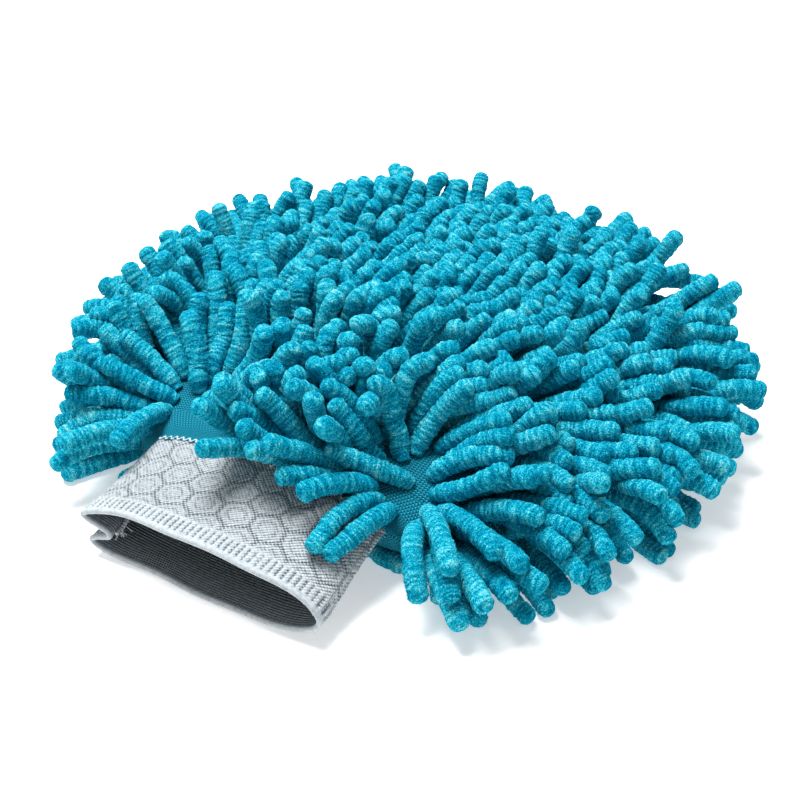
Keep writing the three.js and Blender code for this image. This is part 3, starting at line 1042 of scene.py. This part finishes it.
def make_thread():
    """Pale twisted thread."""
    material, tree, shader = fabric("seam_thread", 0.7, (1, 1, 1))
    plies = noise(tree, 2500, 1)
    colour = ramp(tree, plies, [(0.3, (0.36, 0.42, 0.46)), (0.7, (0.62, 0.68, 0.72))])
    cover(tree, shader, colour, plies, 0.0001, 0.5)
    return material


chenille = make_chenille()
ground_knit = make_ground_knit()
cuff_knit = make_cuff_knit()
thread = make_thread()


# ---- the fingers ----

def rim_roots(y, height, reach):
    """More fingers at both ends of a row, so that the rim is covered between the rows too."""
    offsets = np.array(RIM_OFFSETS)
    beside_y = np.clip(np.repeat(y + offsets, 2), 12, PANEL_END - 4)
    x = np.tile([-1, 1], len(offsets)) * half_width(beside_y) * (reach + 0.01)
    return np.column_stack([x, beside_y, height(x, beside_y)])


def grow(count, height, pitch, reach, first_line):
    """The roots of every row, and the row that each belongs to."""
    roots, rows = [], []
    for i in range(count):
        line = max(first_line, mix(ROW_FIRST, ROW_LAST, i / (count - 1)))
        row = row_roots(line, height, pitch, reach - 0.04)
        if i > 0:
            row = np.concatenate([row, rim_roots(line, height, reach)])
        keep = np.ones(len(row), bool)
        for spot_x, spot_y in BARE_SPOTS:
            keep &= np.hypot(row[:, 0] - spot_x, row[:, 1] - spot_y) > BARE_RADIUS
        roots.append(row[keep])
        rows.append(np.full(keep.sum(), i))
    return np.concatenate(roots), np.concatenate(rows)


def hanging_fingers():
    """The fingers that hang over the cuff and the front corners: their roots and directions."""
    corners = []
    for side in (-1, 1):
        for y in CORNER_Y:
            corners.append((side * 0.98 * half_width(y), y, side * (1.2 + 0.15 * y), 0.15 * y - 2.6))
    x, y, lean_x, lean_y = np.array(HANGING + corners, float).T
    places = np.column_stack([x, y, upper_height(x, y)])
    return places, unit(np.column_stack([lean_x, lean_y, np.full(len(x), 0.8)]))


def finger_lengths(roots, upper):
    """Longer at the right and the back, shorter at the left and in the middle."""
    x, y, _ = roots.T
    lengths = FINGER_LENGTH * rng.uniform(0.9, 1.08, len(roots))
    lengths *= np.where(upper, 1 + 0.09 * smooth(x / half_width(y), 0.7, 0.95), 1)
    lengths *= np.where(upper, 1 + 0.11 * smooth(y, 160, 185), 1)
    lengths *= np.where(x < -85, 0.92, 1)
    middle = smooth(y, 70, 110) * (1 - smooth(out_share(x, y), 0.6, 0.85))
    return lengths * np.where(upper, 1 - 0.14 * middle, 1)


upper, upper_row = grow(UPPER_ROWS, upper_height, UPPER_PITCH, UPPER_REACH, ROW_FIRST)
hanging, hanging_way = hanging_fingers()
apart = upper[:, None, :2] - hanging[None, :, :2]
crowded = np.hypot(apart[..., 0], apart[..., 1]).min(axis=1) < CROWDED
crowded |= (upper_row == 0) & (upper[:, 0] > FIRST_ROW_END)
upper, upper_row = upper[~crowded], upper_row[~crowded]
upper_way = upper_directions(upper)
lower, lower_row = grow(LOWER_ROWS, lower_height, LOWER_PITCH, LOWER_REACH, LOWER_FIRST)
roots = np.concatenate([upper, hanging, lower])
directions = np.concatenate([upper_way, hanging_way, lower_directions(lower)])
row_of = np.concatenate([upper_row, np.zeros(len(hanging), int), lower_row])
is_upper = np.arange(len(roots)) < len(upper) + len(hanging)
lengths = finger_lengths(roots, is_upper)
radii = FINGER_RADIUS * rng.uniform(0.94, 1.06, len(roots))
radii = np.where(is_upper, radii, radii * LOWER_THINNER)
lines = settle(roots, directions, lengths, radii, is_upper)


# ---- what moves with which body ----

def over_wrist(piece):
    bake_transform(piece)


def over_knuckles(piece):
    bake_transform(piece)


def over_mouth(piece):
    """Bakes the piece's transform into its mesh."""
    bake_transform(piece)


def attach_row(piece, low, high, at_wrist):
    """A row moves with one body; at the wrist, or where it reaches into the fold at the knuckles, it
    only has its transform baked.
    """
    if at_wrist:
        over_wrist(piece)
    elif high < KNUCKLE_Y - KNUCKLE_REACH:
        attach(piece, "palm")
    elif low > KNUCKLE_Y + KNUCKLE_REACH:
        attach(piece, "finger_end")
    else:
        over_knuckles(piece)


def make_rows(kind, count, members, rings, sides, wrist_rows):
    """One piece for each sewn row of fingers. It stands for the row's CAD node."""
    for i in range(count):
        chosen = members & (row_of == i)
        line = lines[chosen]
        vertices, faces, uv, attributes = finger_mesh(line, lengths[chosen], radii[chosen], rings, sides)
        name = f"noodles_{kind}_{i + 1:02d}"
        piece = make_object(name, vertices, faces, chenille, uv, attributes)
        y = line[:, :, 1]
        attach_row(piece, y.min() - 5, y.max() + 5, i < wrist_rows)
        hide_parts(f"{kind}_row_{i + 1:02d}")


make_rows("upper", UPPER_ROWS, is_upper, UPPER_RINGS, UPPER_SIDES, 1)
make_rows("lower", LOWER_ROWS, ~is_upper, LOWER_RINGS, LOWER_SIDES, 2)

# ---- the pocket ----
pocket_upper = make_panel("knit_pocket_upper", upper_height, -1)
pocket_lower = make_panel("knit_pocket_lower", lower_height, 1)
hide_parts("upper_panel_rear", "upper_panel_front")
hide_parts("lower_panel_rear", "lower_panel_front")
for piece in (pocket_upper, pocket_lower):
    over_knuckles(piece)

wrist_band = make_wrist_band()
over_wrist(wrist_band)

for piece, cad_node in (
    (overlock_side("overlock_left", -1), "seam_roll_left"),
    (overlock_side("overlock_right", 1), "seam_roll_right"),
    (overlock_end("overlock_end"), "seam_roll_end"),
):
    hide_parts(cad_node)
    over_knuckles(piece)

# ---- the cuff ----
cuff_tube = make_cuff()
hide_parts("cuff_upper", "cuff_lower")
over_mouth(cuff_tube)

frayed_seam = seam_allowance("cuff_seam_allowance")
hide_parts("cuff_side_seam")
over_mouth(frayed_seam)

for cad_node, side in (("cuff_join_stitch_upper", 1), ("cuff_join_stitch_lower", -1)):
    piece = join_stitch(cad_node.replace("cuff_", ""), side)
    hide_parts(cad_node)
    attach(piece, "cuff")


# ---- floor, light and camera ----

def make_floor():
    mesh = bpy.data.meshes.new("floor")
    far = FLOOR_HALF
    corners = [(-far, -far, 0), (far, -far, 0), (far, far, 0), (-far, far, 0)]
    mesh.from_pydata(corners, [], [(0, 1, 2, 3)])
    material = new_material("floor_paper", {
        "Base Color": (0.9, 0.9, 0.9, 1),
        "Emission Color": (1, 1, 1, 1),
        "Emission Strength": FLOOR_GLOW,
        "Roughness": 0.9,
        "Specular IOR Level": 0.1,
    })[0]
    mesh.materials.append(material)
    link("floor", mesh)


def make_light(target):
    data = bpy.data.lights.new("key", "AREA")
    data.size = KEY_SIZE
    data.energy = KEY_POWER
    lamp = link("key", data)
    lamp.location = KEY_PLACE
    lamp.rotation_euler = (target - Vector(KEY_PLACE)).to_track_quat("-Z", "Y").to_euler()


def make_camera(target):
    a, e = math.radians(CAMERA_AZIMUTH), math.radians(CAMERA_ELEVATION)
    back = Vector((math.sin(a) * math.cos(e), -math.cos(a) * math.cos(e), math.sin(e)))
    right = Vector((math.cos(a), math.sin(a), 0))
    aim = target + right * AIM_RIGHT - Vector((0, 0, AIM_DOWN))
    data = bpy.data.cameras.new("camera")
    data.lens = CAMERA_LENS
    data.sensor_width = 36
    camera = link("camera", data)
    camera.location = aim + back * CAMERA_DISTANCE
    camera.rotation_euler = back.to_track_quat("Z", "Y").to_euler()
    bpy.context.scene.camera = camera


def make_world():
    """A studio that is bright near the horizon and dimmer overhead."""
    world = bpy.data.worlds.new("studio")
    world.use_nodes = True
    sky = world.node_tree
    direction = node(sky, "ShaderNodeTexCoord").outputs["Generated"]
    upward = node(sky, "ShaderNodeSeparateXYZ", {0: direction}).outputs["Z"]
    shade = ramp(sky, upward, [(0.15, (SKY_LOW,) * 3), (0.4, (SKY_HIGH,) * 3)])
    sky.links.new(shade, sky.nodes["Background"].inputs["Color"])
    bpy.context.scene.world = world


make_floor()
middle = Vector(frame_point(0, 80, 20))
make_light(middle)
make_world()
bpy.context.scene.view_settings.view_transform = "Standard"
make_camera(middle)
